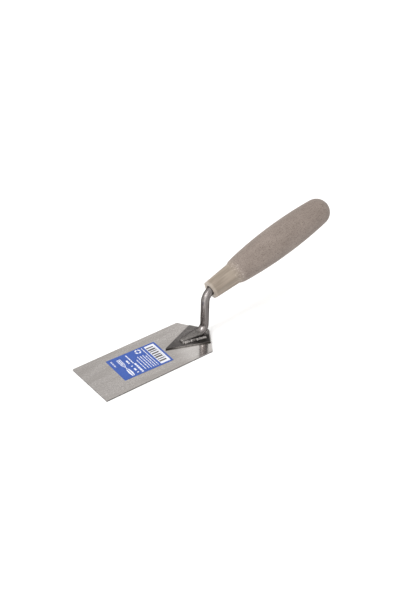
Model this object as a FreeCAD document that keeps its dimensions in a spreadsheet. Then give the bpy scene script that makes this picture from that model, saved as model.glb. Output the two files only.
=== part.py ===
import FreeCAD, Part
import math
import os

import Sketcher

# Margin trowel: a flat pentagonal blade, a foot plate spot-welded on it, a bent round shank
# welded on the foot, and a moulded handle with an eight-sided neck glued on the shank's tang.
# Frame: millimetres, origin at the middle of the blade's sole, +X from the toe to the handle,
# +Z up from the sole. The part is its own mirror image in the plane y = 0, apart from the label
# and the weld beads; left is the -Y side.

Vector = FreeCAD.Vector
TOLERANCE = 1e-4

SIZES = [
    # blade, a 5 in by 2 in plate
    ("blade_length", 127.0),
    ("blade_width", 50.8),
    ("blade_thickness", 1.2),
    ("side_length", 110.0),
    ("apex_radius", 2.8),
    ("rear_corner_radius", 1.0),
    ("toe_corner_radius", 0.4),
    # foot plate; positions along the blade are from its toe
    ("foot_tip_position", 78.3),
    ("foot_half_width", 15.3),
    ("foot_thickness", 1.2),
    ("foot_tip_radius", 0.3),
    ("foot_bevel", 0.9),
    # spot welds between the blade and the foot plate
    ("nugget_radius", 2.25),
    ("nugget_in_blade", 0.6),
    ("nugget_in_foot", 0.6),
    ("front_nugget_position", 88.0),
    ("wing_nugget_position", 111.0),
    ("wing_nugget_offset", 8.5),
    # shank
    ("shank_radius", 3.7),
    ("nose_tip_position", 95.0),
    ("nose_tip_half_width", 2.3),
    ("nose_tip_height", 2.2),
    ("nose_root_position", 117.5),
    ("nose_root_half_width", 5.0),
    ("nose_root_height", 4.5),
    ("rod_start_position", 112.0),
    ("riser_position", 121.2),
    ("lower_bend_radius", 6.6),
    ("upper_bend_radius", 11.0),
    ("axis_height", 42.1),
    ("tang_length", 70.0),
    ("tang_end_chamfer", 1.0),
    ("notch_depth", 0.9),
    ("notch_length", 6.0),
    ("first_notch_position", 20.0),
    ("notch_pitch", 16.0),
    # weld metal: a bead along each side of the nose and a fillet behind the heel
    ("bead_front_position", 95.0),
    ("bead_rear_position", 117.0),
    ("left_front_offset", 3.0),
    ("left_front_half_width", 1.7),
    ("left_front_height", 1.6),
    ("left_rear_offset", 8.0),
    ("left_rear_half_width", 2.9),
    ("left_rear_height", 2.5),
    ("right_front_offset", 1.9),
    ("right_front_half_width", 1.2),
    ("right_front_height", 1.1),
    ("right_rear_offset", 4.4),
    ("right_rear_half_width", 2.4),
    ("right_rear_height", 2.3),
    ("heel_position", 118.6),
    ("heel_half_length", 5.6),
    ("heel_half_width", 5.4),
    ("heel_height", 4.5),
    # handle; positions along its axis are from the mouth of the neck
    ("handle_slope", 16.2),
    ("mouth_offset", 5.6),
    ("handle_length", 137.5),
    ("neck_length", 25.6),
    ("neck_mouth_flat", 8.0),
    ("neck_root_flat", 9.6),
    ("neck_edge_radius", 0.7),
    ("mouth_bevel", 0.6),
    ("shoulder_length", 3.2),
    ("belly_position", 82.0),
    ("belly_radius", 14.65),
    ("barrel_arc_radius", 420.0),
    ("recess_radius", 4.8),
    ("recess_depth", 2.0),
    ("bore_radius", 4.1),
    ("bore_depth", 78.0),
    # label on the blade
    ("label_length", 49.2),
    ("label_width", 30.4),
    ("label_thickness", 0.12),
    ("label_position", 52.0),
    ("label_offset", 0.9),
    ("label_turn", 2.2),
    ("label_corner_radius", 0.4),
]

NECK_SIDES = 8
NOTCH_COUNT = 3


def make_sheet(doc):
    """The driving dimensions, one alias a row."""
    sheet = doc.addObject("Spreadsheet::Sheet", "Sizes")
    for row, (alias, size) in enumerate(SIZES, start=1):
        sheet.set(f"A{row}", alias)
        sheet.set(f"B{row}", str(size))
        sheet.setAlias(f"B{row}", alias)
    doc.recompute()
    return sheet


doc = FreeCAD.newDocument("MarginTrowel")
sizes = make_sheet(doc)


def number(expression):
    """The expression's value now, as a plain number."""
    found = sizes.evalExpression(expression)
    return float(getattr(found, "Value", found))


def along(alias):
    """An expression for the frame's x of a position that is measured from the toe."""
    return f"Sizes.{alias} - Sizes.blade_length / 2"


BLADE_TOP = "Sizes.blade_thickness"
FOOT_TOP = "Sizes.blade_thickness + Sizes.foot_thickness"
RISER_X = along("riser_position")
REAR_X = "Sizes.blade_length / 2"
SIDE_END_X = along("side_length")
# The rear edge falls back by this much for each millimetre away from the centre line.
REAR_SLANT = "((Sizes.blade_length - Sizes.side_length) / (Sizes.blade_width / 2))"
FOOT_CORNER_X = f"{REAR_X} - Sizes.foot_half_width * {REAR_SLANT}"
MOUTH_X = f"{RISER_X} + Sizes.mouth_offset * cos(Sizes.handle_slope * 1deg)"
MOUTH_Z = "Sizes.axis_height + Sizes.mouth_offset * sin(Sizes.handle_slope * 1deg)"
HANDLE_TILT = "90deg - Sizes.handle_slope * 1deg"
NECK_FLARE = "atan((Sizes.neck_root_flat - Sizes.neck_mouth_flat) / Sizes.neck_length)"


# ---------------------------------------------------------------- sketch helpers


def new_body(name, label):
    body = doc.addObject("PartDesign::Body", name)
    body.Label = label
    return body


def origin_feature(body, role):
    return next(f for f in body.Origin.OriginFeatures if f.Role == role)


def new_sketch(body, name, plane, height=None):
    """A sketch on one of the body's origin planes, raised from it by an expression."""
    sketch = body.newObject("Sketcher::SketchObject", name)
    sketch.AttachmentSupport = [(origin_feature(body, plane), "")]
    sketch.MapMode = "FlatFace"
    if height is not None:
        sketch.setExpression(".AttachmentOffset.Base.z", height)
    return sketch


def bind(sketch, name, expression):
    sketch.renameConstraint(sketch.ConstraintCount - 1, name)
    sketch.setExpression(f"Constraints.{name}", expression)


def place_point(sketch, name, geometry, end, x, y):
    """Holds a point of the sketch at two expressions; "0" puts it on the axis."""
    for kind, axis, tag, expression in (
        ("DistanceX", -2, "x", x),
        ("DistanceY", -1, "y", y),
    ):
        if expression == "0":
            sketch.addConstraint(Sketcher.Constraint("PointOnObject", geometry, end, axis))
        else:
            value = number(expression)
            sketch.addConstraint(Sketcher.Constraint(kind, -1, 1, geometry, end, value))
            bind(sketch, f"{name}_{tag}", expression)


def add_polygon(sketch, tag, corners):
    """A closed outline through corners given as pairs of expressions."""
    points = [Vector(number(x), number(y), 0) for x, y in corners]
    count = len(points)
    first = sketch.GeometryCount
    for i in range(count):
        sketch.addGeometry(Part.LineSegment(points[i], points[(i + 1) % count]))
    for i in range(count):
        following = first + (i + 1) % count
        sketch.addConstraint(Sketcher.Constraint("Coincident", first + i, 2, following, 1))
    for i, (x, y) in enumerate(corners):
        place_point(sketch, f"{tag}{i}", first + i, 1, x, y)


def add_circle(sketch, name, x, y, radius):
    circle = Part.Circle(Vector(number(x), number(y), 0), Vector(0, 0, 1), number(radius))
    index = sketch.addGeometry(circle)
    place_point(sketch, name, index, 3, x, y)
    sketch.addConstraint(Sketcher.Constraint("Radius", index, number(radius)))
    bind(sketch, f"{name}_radius", radius)
    return index


def edges_of(feature, wanted):
    """Names of the feature's edges that the test accepts."""
    return [f"Edge{i}" for i, edge in enumerate(feature.Shape.Edges, start=1) if wanted(edge)]


def upright_edge_near(x, y):
    """A test for the upright edge that stands over a point of the plan."""

    def wanted(edge):
        ends = [v.Point for v in edge.Vertexes]
        return len(ends) == 2 and all(
            abs(p.x - x) < TOLERANCE and abs(p.y - y) < TOLERANCE for p in ends
        )

    return wanted


def pad(body, name, sketch, length):
    feature = body.newObject("PartDesign::Pad", name)
    feature.Profile = sketch
    feature.setExpression("Length", length)
    doc.recompute()
    return feature


def dress(body, kind, name, base, edges, size_property, size):
    """A Fillet or a Chamfer on named edges of the feature before it."""
    if not edges:
        raise RuntimeError(f"{name}: no edge was found")
    feature = body.newObject(f"PartDesign::{kind}", name)
    feature.Base = (base, edges)
    feature.setExpression(size_property, size)
    doc.recompute()
    return feature


def require_less(after, before, name):
    """Stops when a cut removed nothing."""
    if after.Shape.Volume > before.Shape.Volume - TOLERANCE:
        raise RuntimeError(f"{name} removed nothing")


NUGGETS = [
    ("front_nugget_position", "0"),
    ("wing_nugget_position", "Sizes.wing_nugget_offset"),
    ("wing_nugget_position", "-Sizes.wing_nugget_offset"),
]


def pocket_nuggets(body, name, height, depth, upwards):
    """Round pockets that hold the spot welds' share of a plate."""
    sketch = new_sketch(body, f"{name}Sketch", "XY_Plane", height)
    for i, (position, y) in enumerate(NUGGETS):
        add_circle(sketch, f"nugget{i}", along(position), y, "Sizes.nugget_radius")
    before = body.Tip
    pocket = body.newObject("PartDesign::Pocket", name)
    pocket.Profile = sketch
    pocket.Reversed = upwards
    pocket.setExpression("Length", depth)
    doc.recompute()
    require_less(pocket, before, name)
    return pocket


# ---------------------------------------------------------------- blade and foot plate


def make_blade():
    body = new_body("Blade", "blade")
    half = "Sizes.blade_width / 2"
    toe = "-Sizes.blade_length / 2"
    sketch = new_sketch(body, "BladeOutline", "XY_Plane")
    corners = [
        (toe, f"-{half}"),
        (SIDE_END_X, f"-{half}"),
        (REAR_X, "0"),
        (SIDE_END_X, half),
        (toe, half),
    ]
    add_polygon(sketch, "corner", corners)
    feature = pad(body, "BladePlate", sketch, "Sizes.blade_thickness")
    for name, radius, points in (
        ("BladeApex", "Sizes.apex_radius", corners[2:3]),
        ("BladeRearCorners", "Sizes.rear_corner_radius", [corners[1], corners[3]]),
        ("BladeToeCorners", "Sizes.toe_corner_radius", [corners[0], corners[4]]),
    ):
        edges = []
        for x, y in points:
            edges += edges_of(feature, upright_edge_near(number(x), number(y)))
        feature = dress(body, "Fillet", name, feature, edges, "Radius", radius)
    pocket_nuggets(body, "BladeNuggets", BLADE_TOP, "Sizes.nugget_in_blade", False)
    return body


def make_foot_plate():
    body = new_body("FootPlate", "foot_plate")
    sketch = new_sketch(body, "FootOutline", "XY_Plane", BLADE_TOP)
    corners = [
        (along("foot_tip_position"), "0"),
        (FOOT_CORNER_X, "-Sizes.foot_half_width"),
        (REAR_X, "0"),
        (FOOT_CORNER_X, "Sizes.foot_half_width"),
    ]
    add_polygon(sketch, "corner", corners)
    feature = pad(body, "FootPad", sketch, "Sizes.foot_thickness")
    for name, radius, points in (
        ("FootApex", "Sizes.apex_radius", corners[2:3]),
        ("FootTip", "Sizes.foot_tip_radius", corners[0:1]),
    ):
        edges = []
        for x, y in points:
            edges += edges_of(feature, upright_edge_near(number(x), number(y)))
        feature = dress(body, "Fillet", name, feature, edges, "Radius", radius)
    top = number(FOOT_TOP)
    corner_x = number(FOOT_CORNER_X)

    def rear_top(edge):
        middle = edge.CenterOfMass
        return abs(middle.z - top) < TOLERANCE and middle.x > corner_x

    bevelled = edges_of(feature, rear_top)
    dress(body, "Chamfer", "FootBevel", feature, bevelled, "Size", "Sizes.foot_bevel")
    pocket_nuggets(body, "FootNuggets", BLADE_TOP, "Sizes.nugget_in_foot", True)
    return body


def make_spot_welds():
    """Weld nuggets that lie half in the blade and half in the foot plate."""
    nuggets = []
    for i, (position, y) in enumerate(NUGGETS):
        nugget = doc.addObject("Part::Cylinder", f"Nugget{i}")
        nugget.setExpression("Radius", "Sizes.nugget_radius")
        nugget.setExpression("Height", "Sizes.nugget_in_blade + Sizes.nugget_in_foot")
        nugget.setExpression(".Placement.Base.x", along(position))
        nugget.setExpression(".Placement.Base.y", y)
        nugget.setExpression(".Placement.Base.z", f"{BLADE_TOP} - Sizes.nugget_in_blade")
        nuggets.append(nugget)
    group = doc.addObject("Part::Compound", "SpotWelds")
    group.Label = "spot_welds"
    group.Links = nuggets
    return group


# ---------------------------------------------------------------- shank


def draw_shank_path(sketch):
    """Foot run, lower bend, riser, upper bend and tang, in the plane y = 0."""
    start_x = number(along("rod_start_position"))
    riser_x = number(RISER_X)
    rod_z = number(FOOT_TOP)
    low = number("Sizes.lower_bend_radius")
    high = number("Sizes.upper_bend_radius")
    axis_z = number("Sizes.axis_height")
    slope = math.radians(number("Sizes.handle_slope"))
    reach = high * math.tan((math.pi / 2 - slope) / 2)
    tang = Vector(math.cos(slope), math.sin(slope), 0)
    crossing = Vector(riser_x, axis_z, 0)
    bend_end = crossing + tang * reach
    low_centre = Vector(riser_x - low, rod_z + low, 0)
    high_centre = Vector(riser_x + high, axis_z - reach, 0)
    upwards = Vector(0, 0, 1)

    base = sketch.addGeometry(
        Part.LineSegment(Vector(start_x, rod_z, 0), Vector(riser_x - low, rod_z, 0))
    )
    low_arc = sketch.addGeometry(
        Part.ArcOfCircle(Part.Circle(low_centre, upwards, low), 1.5 * math.pi, 2 * math.pi)
    )
    riser = sketch.addGeometry(
        Part.LineSegment(Vector(riser_x, rod_z + low, 0), Vector(riser_x, axis_z - reach, 0))
    )
    high_arc = sketch.addGeometry(
        Part.ArcOfCircle(
            Part.Circle(high_centre, upwards, high), math.pi / 2 + slope, math.pi
        )
    )
    tang_end = bend_end + tang * number("Sizes.tang_length")
    tang_line = sketch.addGeometry(Part.LineSegment(bend_end, tang_end))
    mark = sketch.addGeometry(Part.Point(crossing), True)

    for constraint in (
        Sketcher.Constraint("Tangent", base, 2, low_arc, 1),
        Sketcher.Constraint("Tangent", low_arc, 2, riser, 1),
        Sketcher.Constraint("Tangent", riser, 2, high_arc, 2),
        Sketcher.Constraint("Tangent", high_arc, 1, tang_line, 1),
        Sketcher.Constraint("Horizontal", base),
        Sketcher.Constraint("Vertical", riser),
        Sketcher.Constraint("PointOnObject", mark, 1, tang_line),
        Sketcher.Constraint("PointOnObject", mark, 1, riser),
    ):
        sketch.addConstraint(constraint)
    place_point(sketch, "start", base, 1, along("rod_start_position"), FOOT_TOP)
    place_point(sketch, "crossing", mark, 1, RISER_X, "Sizes.axis_height")
    sketch.addConstraint(Sketcher.Constraint("Radius", low_arc, low))
    bind(sketch, "low_radius", "Sizes.lower_bend_radius")
    sketch.addConstraint(Sketcher.Constraint("Radius", high_arc, high))
    bind(sketch, "high_radius", "Sizes.upper_bend_radius")
    sketch.addConstraint(Sketcher.Constraint("Angle", -1, 1, tang_line, 1, slope))
    bind(sketch, "slope", "Sizes.handle_slope * 1deg")
    sketch.addConstraint(Sketcher.Constraint("Distance", mark, 1, tang_line, 2, 1.0))
    bind(sketch, "reach", "Sizes.mouth_offset + Sizes.tang_length")


def add_ellipse(sketch, name, across, height, half_width, half_height):
    """An ellipse with its long axis across the part, all four given as expressions."""
    wide, tall = number(half_width), number(half_height)
    centre = Vector(number(across), number(height), 0)
    ellipse = Part.Ellipse(centre + Vector(wide, 0, 0), centre + Vector(0, tall, 0), centre)
    index = sketch.addGeometry(ellipse)
    sketch.exposeInternalGeometry(index)
    major, minor = index + 1, index + 2
    place_point(sketch, name, index, 3, across, height)
    sketch.addConstraint(Sketcher.Constraint("Horizontal", major))
    sketch.addConstraint(Sketcher.Constraint("Distance", major, 2 * wide))
    bind(sketch, f"{name}_wide", f"2 * {half_width}")
    sketch.addConstraint(Sketcher.Constraint("Distance", minor, 2 * tall))
    bind(sketch, f"{name}_tall", f"2 * {half_height}")


def trim_below_foot_top(body, name):
    """Takes away what lies under the foot plate's top, over the blade's whole plan."""
    sketch = new_sketch(body, f"{name}Sketch", "XY_Plane", FOOT_TOP)
    toe, rear_end, half = "-Sizes.blade_length / 2", REAR_X, "Sizes.blade_width / 2"
    corners = [(toe, f"-{half}"), (rear_end, f"-{half}"), (rear_end, half), (toe, half)]
    add_polygon(sketch, "corner", corners)
    before = body.Tip
    trim = body.newObject("PartDesign::Pocket", name)
    trim.Profile = sketch
    trim.setExpression("Length", "2 * Sizes.heel_height")
    doc.recompute()
    require_less(trim, before, name)
    return trim


def make_shank():
    """A round bar: forged nose flat on the foot, two bends, and a notched tang in the handle."""
    body = new_body("Shank", "shank")
    path = new_sketch(body, "ShankPath", "XZ_Plane")
    draw_shank_path(path)
    section = new_sketch(body, "ShankSection", "YZ_Plane", along("rod_start_position"))
    add_circle(section, "rod", "0", FOOT_TOP, "Sizes.shank_radius")
    doc.recompute()
    pipe = body.newObject("PartDesign::AdditivePipe", "ShankRod")
    pipe.Profile = section
    pipe.Spine = path
    doc.recompute()

    ends = []
    for tag in ("root", "tip"):
        end = new_sketch(body, f"Nose_{tag}", "YZ_Plane", along(f"nose_{tag}_position"))
        half_width, height = f"Sizes.nose_{tag}_half_width", f"Sizes.nose_{tag}_height"
        add_ellipse(end, tag, "0", FOOT_TOP, half_width, height)
        ends.append(end)
    doc.recompute()
    nose = body.newObject("PartDesign::AdditiveLoft", "ShankNose")
    nose.Profile = ends[0]
    nose.Sections = ends[1:]
    nose.Ruled = True
    doc.recompute()
    flat = trim_below_foot_top(body, "NoseUnderside")

    slope = math.radians(number("Sizes.handle_slope"))
    direction = Vector(math.cos(slope), 0, math.sin(slope))
    crossing = Vector(number(RISER_X), 0, number("Sizes.axis_height"))
    reach = number("Sizes.mouth_offset + Sizes.tang_length")
    end_point = crossing + direction * reach

    def at_tang_end(edge):
        return (edge.CenterOfMass - end_point).Length < 0.05

    chamfered = edges_of(flat, at_tang_end)
    feature = dress(
        body, "Chamfer", "TangEnd", flat, chamfered, "Size", "Sizes.tang_end_chamfer"
    )
    for i in range(NOTCH_COUNT):
        feature = notch_tang(body, feature, i)
    return body


def notch_tang(body, before, index):
    """A pair of pressed notches across the tang, one on each side, that the glue keys into."""
    sketch = new_sketch(body, f"Notch{index}Sketch", "XZ_Plane")
    slope = "Sizes.handle_slope * 1deg"
    start = f"(Sizes.mouth_offset + Sizes.first_notch_position + {index} * Sizes.notch_pitch)"
    low = "(Sizes.shank_radius - Sizes.notch_depth)"
    high = "(Sizes.shank_radius + 1)"

    def corner(distance, side):
        x = f"{RISER_X} + {distance} * cos({slope}) - {side} * sin({slope})"
        z = f"Sizes.axis_height + {distance} * sin({slope}) + {side} * cos({slope})"
        return x, z

    end = f"({start} + Sizes.notch_length)"
    for sign, tag in (("", "upper"), ("-", "lower")):
        near, far = f"{sign}{low}", f"{sign}{high}"
        corners = [corner(start, near), corner(end, near), corner(end, far), corner(start, far)]
        add_polygon(sketch, tag, corners)
    pocket = body.newObject("PartDesign::Pocket", f"Notch{index}")
    pocket.Profile = sketch
    pocket.Midplane = True
    pocket.setExpression("Length", "4 * Sizes.shank_radius")
    doc.recompute()
    require_less(pocket, before, pocket.Name)
    return pocket


# ---------------------------------------------------------------- weld beads


def add_side_bead(body, side, sign):
    """A bead beside the nose: half of an elliptic cone that widens from the tip to the heel."""
    ends = []
    for tag in ("front", "rear"):
        end = new_sketch(body, f"{side}_{tag}", "YZ_Plane", along(f"bead_{tag}_position"))
        size = f"Sizes.{side}_{tag}"
        add_ellipse(
            end, tag, f"{sign}{size}_offset", FOOT_TOP, f"{size}_half_width", f"{size}_height"
        )
        ends.append(end)
    doc.recompute()
    bead = body.newObject("PartDesign::AdditiveLoft", f"{side}_bead")
    bead.Profile = ends[0]
    bead.Sections = ends[1:]
    bead.Ruled = True
    doc.recompute()


def make_weld_beads(shank):
    """Weld metal on the foot plate: two side beads and the heel fillet, fitted to the shank."""
    body = new_body("WeldMetal", "weld_metal")
    add_side_bead(body, "left", "-")
    add_side_bead(body, "right", "")
    heel = body.newObject("PartDesign::AdditiveEllipsoid", "HeelFillet")
    heel.AttachmentSupport = [(origin_feature(body, "XY_Plane"), "")]
    heel.MapMode = "FlatFace"
    heel.setExpression(".AttachmentOffset.Base.x", along("heel_position"))
    heel.setExpression(".AttachmentOffset.Base.z", FOOT_TOP)
    heel.setExpression("Radius1", "Sizes.heel_height")
    heel.setExpression("Radius2", "Sizes.heel_half_length")
    heel.setExpression("Radius3", "Sizes.heel_half_width")
    doc.recompute()

    trim_below_foot_top(body, "TrimBelow")

    beads = doc.addObject("Part::Cut", "WeldBeads")
    beads.Label = "weld_beads"
    beads.Base = body
    beads.Tool = shank
    doc.recompute()
    return beads


# ---------------------------------------------------------------- handle and glue


def tilt_to_handle(feature, distance):
    """Stands the feature's Z on the handle's axis, at a distance up it from the mouth."""
    slope = "Sizes.handle_slope * 1deg"
    feature.setExpression(".Placement.Base.x", f"{MOUTH_X} + {distance} * cos({slope})")
    feature.setExpression(".Placement.Base.z", f"{MOUTH_Z} + {distance} * sin({slope})")
    feature.Placement.Rotation = FreeCAD.Rotation(Vector(0, 1, 0), 1)
    feature.setExpression(".Placement.Rotation.Angle", HANDLE_TILT)


def octagon_corners(half_flat):
    """Corners of an eight-sided neck section with flats on top, below and at the sides."""
    step = f"360deg / {NECK_SIDES}"
    radius = f"{half_flat} / cos({step} / 2)"
    return [
        (f"{radius} * cos({step} * ({i} + 0.5))", f"{radius} * sin({step} * ({i} + 0.5))")
        for i in range(NECK_SIDES)
    ]


def draw_barrel(sketch):
    """Half outline of the round grip: shoulder, one long swelling arc and the domed butt."""
    long_radius = number("Sizes.barrel_arc_radius")
    belly_z = number("Sizes.belly_position")
    belly_r = number("Sizes.belly_radius")
    start_z = number("Sizes.neck_length")
    swell_z = number("Sizes.neck_length + Sizes.shoulder_length")
    root_r = number("Sizes.neck_root_flat")
    length = number("Sizes.handle_length")
    centre_x = belly_r - long_radius
    rise = length - belly_z
    dome = (long_radius**2 - centre_x**2 - rise**2) / (2 * (long_radius - rise))
    dome_z = length - dome
    swell_r = centre_x + math.sqrt(long_radius**2 - (swell_z - belly_z) ** 2)
    join_angle = math.atan2(dome_z - belly_z, -centre_x)
    swell_angle = math.atan2(swell_z - belly_z, swell_r - centre_x)
    upwards = Vector(0, 0, 1)

    base = sketch.addGeometry(
        Part.LineSegment(Vector(0, start_z, 0), Vector(root_r, start_z, 0))
    )
    shoulder = sketch.addGeometry(
        Part.LineSegment(Vector(root_r, start_z, 0), Vector(swell_r, swell_z, 0))
    )
    barrel = sketch.addGeometry(
        Part.ArcOfCircle(
            Part.Circle(Vector(centre_x, belly_z, 0), upwards, long_radius),
            swell_angle,
            join_angle,
        )
    )
    butt = sketch.addGeometry(
        Part.ArcOfCircle(
            Part.Circle(Vector(0, dome_z, 0), upwards, dome), join_angle, math.pi / 2
        )
    )
    spine = sketch.addGeometry(
        Part.LineSegment(Vector(0, length, 0), Vector(0, start_z, 0))
    )
    for constraint in (
        Sketcher.Constraint("Coincident", base, 2, shoulder, 1),
        Sketcher.Constraint("Coincident", shoulder, 2, barrel, 1),
        Sketcher.Constraint("Tangent", barrel, 2, butt, 1),
        Sketcher.Constraint("Coincident", butt, 2, spine, 1),
        Sketcher.Constraint("Coincident", spine, 2, base, 1),
        Sketcher.Constraint("PointOnObject", butt, 3, -2),
        Sketcher.Constraint("Horizontal", base),
    ):
        sketch.addConstraint(constraint)
    place_point(sketch, "base", base, 1, "0", "Sizes.neck_length")
    place_point(sketch, "butt_end", spine, 1, "0", "Sizes.handle_length")
    sketch.addConstraint(Sketcher.Constraint("Distance", base, root_r))
    bind(sketch, "root_radius", "Sizes.neck_root_flat")
    swell_height = "Sizes.neck_length + Sizes.shoulder_length"
    sketch.addConstraint(Sketcher.Constraint("DistanceY", -1, 1, barrel, 1, swell_z))
    bind(sketch, "swell_height", swell_height)
    sketch.addConstraint(Sketcher.Constraint("DistanceY", -1, 1, barrel, 3, belly_z))
    bind(sketch, "belly_height", "Sizes.belly_position")
    sketch.addConstraint(Sketcher.Constraint("DistanceX", -1, 1, barrel, 3, centre_x))
    bind(sketch, "belly_swell", "Sizes.belly_radius - Sizes.barrel_arc_radius")
    sketch.addConstraint(Sketcher.Constraint("Radius", barrel, long_radius))
    bind(sketch, "barrel_radius", "Sizes.barrel_arc_radius")


def bore(body, name, radius, depth):
    """A round hole up the handle's axis from the mouth."""
    sketch = new_sketch(body, f"{name}Sketch", "XY_Plane")
    add_circle(sketch, "hole", "0", "0", radius)
    before = body.Tip
    pocket = body.newObject("PartDesign::Pocket", name)
    pocket.Profile = sketch
    pocket.Reversed = True
    pocket.setExpression("Length", depth)
    doc.recompute()
    require_less(pocket, before, name)
    return pocket


def make_handle():
    """One moulding: eight-sided flaring neck, shoulder, round grip and domed butt."""
    body = new_body("Handle", "handle")
    mouth = new_sketch(body, "NeckMouth", "XY_Plane")
    add_polygon(mouth, "corner", octagon_corners("Sizes.neck_mouth_flat"))
    doc.recompute()
    # The neck runs on under the shoulder, so that its flats die out on the shoulder's cone.
    neck = body.newObject("PartDesign::Pad", "Neck")
    neck.Profile = mouth
    neck.setExpression("Length", "Sizes.neck_length + Sizes.shoulder_length")
    neck.setExpression("TaperAngle", NECK_FLARE)
    doc.recompute()

    def lengthwise(edge):
        return edge.BoundBox.ZLength > number("Sizes.neck_length")

    edges = edges_of(neck, lengthwise)
    feature = dress(
        body, "Fillet", "NeckEdges", neck, edges, "Radius", "Sizes.neck_edge_radius"
    )

    def at_mouth(edge):
        return edge.BoundBox.ZMax < TOLERANCE

    edges = edges_of(feature, at_mouth)
    dress(body, "Chamfer", "MouthBevel", feature, edges, "Size", "Sizes.mouth_bevel")

    outline = new_sketch(body, "BarrelOutline", "XZ_Plane")
    draw_barrel(outline)
    doc.recompute()
    grip = body.newObject("PartDesign::Revolution", "Barrel")
    grip.Profile = outline
    grip.ReferenceAxis = (origin_feature(body, "Z_Axis"), [""])
    grip.Angle = 360
    doc.recompute()
    bore(body, "MouthRecess", "Sizes.recess_radius", "Sizes.recess_depth")
    bore(body, "TangBore", "Sizes.bore_radius", "Sizes.bore_depth")
    tilt_to_handle(body, "0")
    doc.recompute()
    return body


def make_tang_adhesive(shank):
    """Set epoxy that fills the bore round and beyond the tang."""
    fill = doc.addObject("Part::Cylinder", "BoreFill")
    fill.setExpression("Radius", "Sizes.bore_radius")
    fill.setExpression("Height", "Sizes.bore_depth - Sizes.recess_depth")
    tilt_to_handle(fill, "Sizes.recess_depth")
    sleeve = doc.addObject("Part::Cut", "TangAdhesive")
    sleeve.Label = "tang_adhesive"
    sleeve.Base = fill
    sleeve.Tool = shank
    doc.recompute()
    return sleeve


# ---------------------------------------------------------------- label


def make_label():
    """A thin printed film, stuck a little askew on the blade's top."""
    body = new_body("Label", "label")
    half_length, half_width = "Sizes.label_length / 2", "Sizes.label_width / 2"
    corners = [
        (f"-{half_length}", f"-{half_width}"),
        (half_length, f"-{half_width}"),
        (half_length, half_width),
        (f"-{half_length}", half_width),
    ]
    sketch = new_sketch(body, "LabelOutline", "XY_Plane")
    add_polygon(sketch, "corner", corners)
    feature = pad(body, "LabelFilm", sketch, "Sizes.label_thickness")
    edges = []
    for x, y in corners:
        edges += edges_of(feature, upright_edge_near(number(x), number(y)))
    dress(
        body, "Fillet", "LabelCorners", feature, edges, "Radius", "Sizes.label_corner_radius"
    )
    body.setExpression(".Placement.Base.x", along("label_position"))
    body.setExpression(".Placement.Base.y", "Sizes.label_offset")
    body.setExpression(".Placement.Base.z", BLADE_TOP)
    body.Placement.Rotation = FreeCAD.Rotation(Vector(0, 0, -1), 1)
    body.setExpression(".Placement.Rotation.Angle", "Sizes.label_turn * 1deg")
    doc.recompute()
    return body


# ---------------------------------------------------------------- build, check, write


blade = make_blade()
foot_plate = make_foot_plate()
spot_welds = make_spot_welds()
shank = make_shank()
weld_beads = make_weld_beads(shank)
handle = make_handle()
tang_adhesive = make_tang_adhesive(shank)
label = make_label()
doc.recompute()

for item in doc.Objects:
    if "Invalid" in item.State or "Error" in item.State:
        raise RuntimeError(f"{item.Name} is {item.State}")

os.makedirs("parts", exist_ok=True)
for node in (
    blade,
    foot_plate,
    spot_welds,
    shank,
    weld_beads,
    handle,
    tang_adhesive,
    label,
):
    if node.Shape.isNull() or not node.Shape.isValid():
        raise RuntimeError(f"{node.Label} has no valid shape")
    node.Shape.exportStep(f"parts/{node.Label}.step")
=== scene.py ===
import math

import bmesh
import bpy
import numpy as np
from mathutils import Matrix, Vector, noise


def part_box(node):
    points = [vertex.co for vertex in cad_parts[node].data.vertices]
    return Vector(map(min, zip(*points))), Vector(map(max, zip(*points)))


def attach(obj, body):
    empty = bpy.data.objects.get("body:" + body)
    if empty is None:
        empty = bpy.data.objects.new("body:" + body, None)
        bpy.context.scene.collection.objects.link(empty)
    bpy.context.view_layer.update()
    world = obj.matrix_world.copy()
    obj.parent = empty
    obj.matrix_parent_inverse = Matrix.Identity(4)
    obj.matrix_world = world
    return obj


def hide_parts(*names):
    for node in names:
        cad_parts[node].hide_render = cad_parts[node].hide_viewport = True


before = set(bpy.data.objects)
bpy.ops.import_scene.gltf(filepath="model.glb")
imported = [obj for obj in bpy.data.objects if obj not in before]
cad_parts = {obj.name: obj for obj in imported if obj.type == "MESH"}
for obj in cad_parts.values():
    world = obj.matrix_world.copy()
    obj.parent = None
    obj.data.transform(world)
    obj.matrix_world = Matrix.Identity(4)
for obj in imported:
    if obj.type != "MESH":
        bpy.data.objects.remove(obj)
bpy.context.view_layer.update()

MM = 0.001
BODY = "root"

# ---------------------------------------------------------------- where things are, from the frame

blade_low, blade_high = (Vector(c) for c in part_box("blade"))
foot_high = Vector(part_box("foot_plate")[1])
shank_low, shank_high = (Vector(c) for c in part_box("shank"))
weld_low, weld_high = (Vector(c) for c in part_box("weld_beads"))
label_low, label_high = (Vector(c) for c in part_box("label"))

TOE_X = blade_low.x
HALF_BLADE = blade_high.y
BLADE_TOP = blade_high.z
FOOT_TOP = foot_high.z
HALF_FOOT = foot_high.y

# Plan and side view of the hard parts. The lower bend is easier than the CAD's, and the recess
# at the handle's mouth a little smaller.
SHOULDER_X = TOE_X + 110 * MM
APEX_X = TOE_X + 127 * MM
APEX_R = 2.8 * MM
FOOT_TIP_X = TOE_X + 78.3 * MM
FOOT_BEVEL = 0.9 * MM
BAR_R = 3.7 * MM
NOSE_ROOT_X = TOE_X + 117.5 * MM
NOSE_BOXY = 0.72
RISER_X = TOE_X + 121.2 * MM
LOWER_BEND = 8.6 * MM
UPPER_BEND = 11 * MM
AXIS_Z = 42.1 * MM
SLOPE = math.radians(16.2)
MOUTH_OFFSET = 5.6 * MM

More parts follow.
